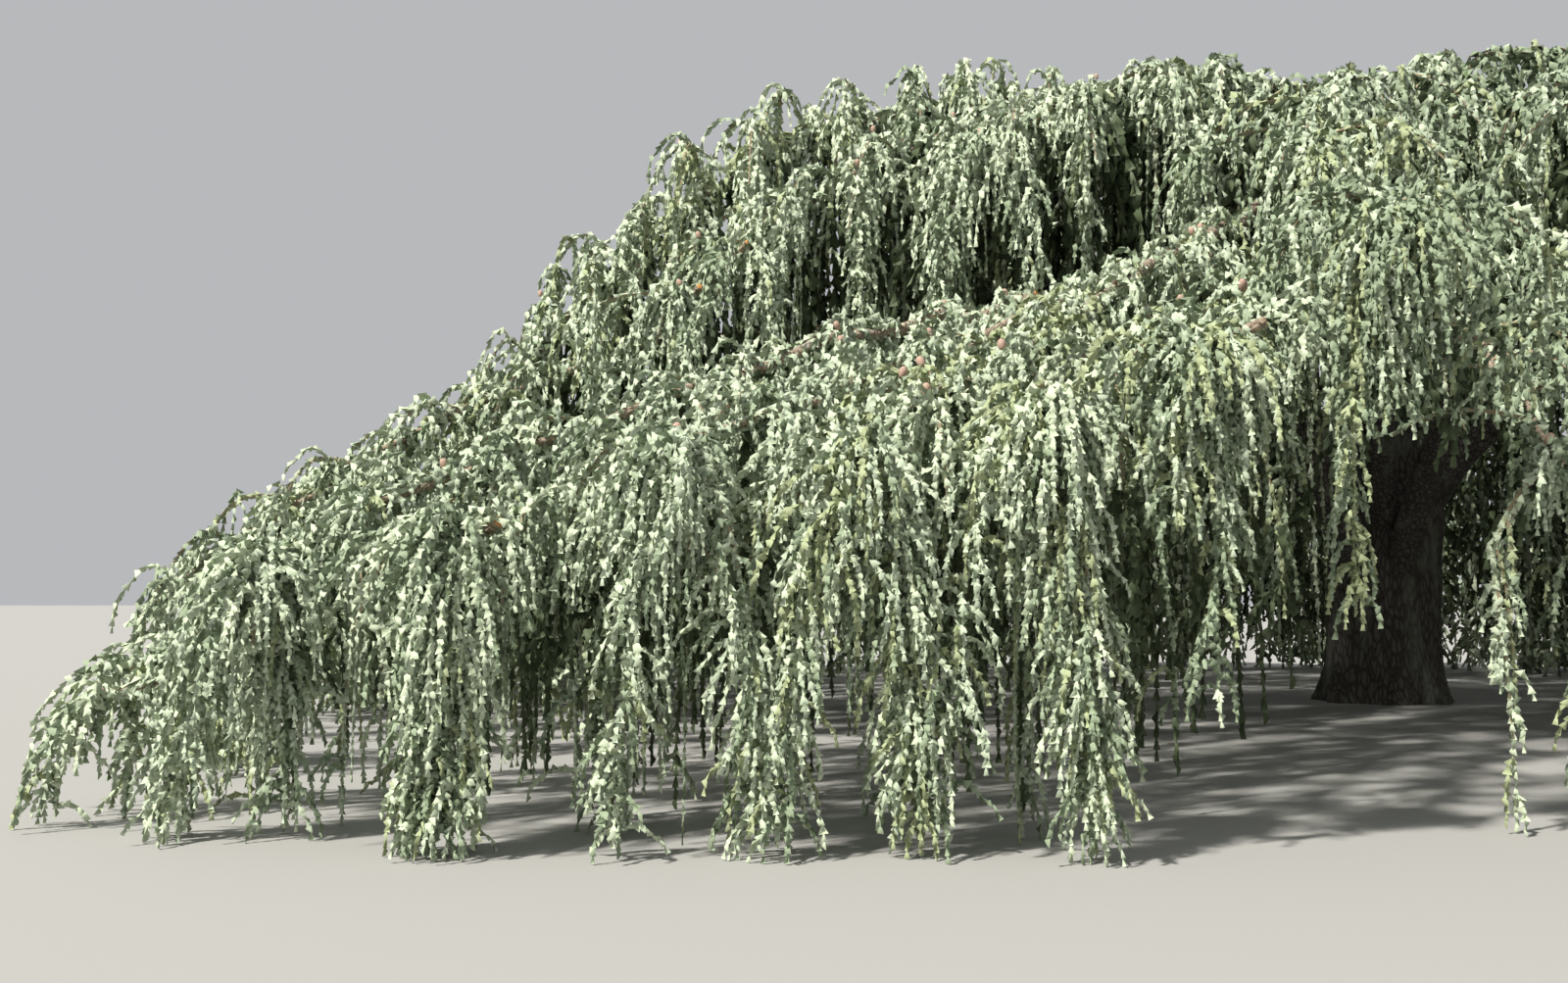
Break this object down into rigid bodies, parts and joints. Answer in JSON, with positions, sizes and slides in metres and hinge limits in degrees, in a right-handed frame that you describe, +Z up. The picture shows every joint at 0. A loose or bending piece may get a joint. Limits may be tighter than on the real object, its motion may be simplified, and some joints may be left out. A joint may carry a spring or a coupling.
{
  "type": "weeping atlas cedar tree",
  "caption": "Old weeping blue cedar: short thick trunk, low level limbs and boughs with long hanging curtains of needled branchlets down to the ground, no roots or soil",
  "frame": {"origin": "on the ground, in the middle of the flat cut under the trunk", "axes": "+Z up; +X and +Y level; in the picture's view +X is to the right and +Y points away from the camera"},
  "size_m": [30.5277, 27.8359, 10.3826],
  "materials": {
    "bark": "grey-brown ridged bark",
    "needles": "matt grey blue-green needles on grey twigs"
  },
  "bodies": {
    "root": {"trunk": "bark", "limb_01": "bark", "limb_02": "bark", "limb_03": "bark", "limb_04": "bark", "limb_05": "bark", "limb_06": "bark", "limb_07": "bark", "limb_08": "bark", "limb_09": "bark", "foliage_01_a": "needles", "foliage_01_b": "needles", "foliage_01_c": "needles", "foliage_02_a": "needles", "foliage_02_b": "needles", "foliage_02_c": "needles", "foliage_03_a": "needles", "foliage_03_b": "needles", "foliage_03_c": "needles", "foliage_04_a": "needles", "foliage_04_b": "needles", "foliage_04_c": "needles", "foliage_05_a": "needles", "foliage_05_b": "needles", "foliage_05_c": "needles", "foliage_06_a": "needles", "foliage_06_b": "needles", "foliage_06_c": "needles", "foliage_07_a": "needles", "foliage_07_b": "needles", "foliage_07_c": "needles", "foliage_08_a": "needles", "foliage_08_b": "needles", "foliage_08_c": "needles", "foliage_09_a": "needles", "foliage_09_b": "needles", "foliage_09_c": "needles", "foliage_upper_01": "needles", "foliage_upper_02": "needles", "foliage_upper_03": "needles", "foliage_upper_04": "needles", "foliage_upper_05": "needles", "foliage_upper_06": "needles", "foliage_upper_07": "needles", "foliage_upper_08": "needles", "foliage_upper_09": "needles", "foliage_upper_10": "needles", "foliage_head_1": "needles", "foliage_head_2": "needles", "foliage_head_3": "needles"}
  },
  "joints": []
}
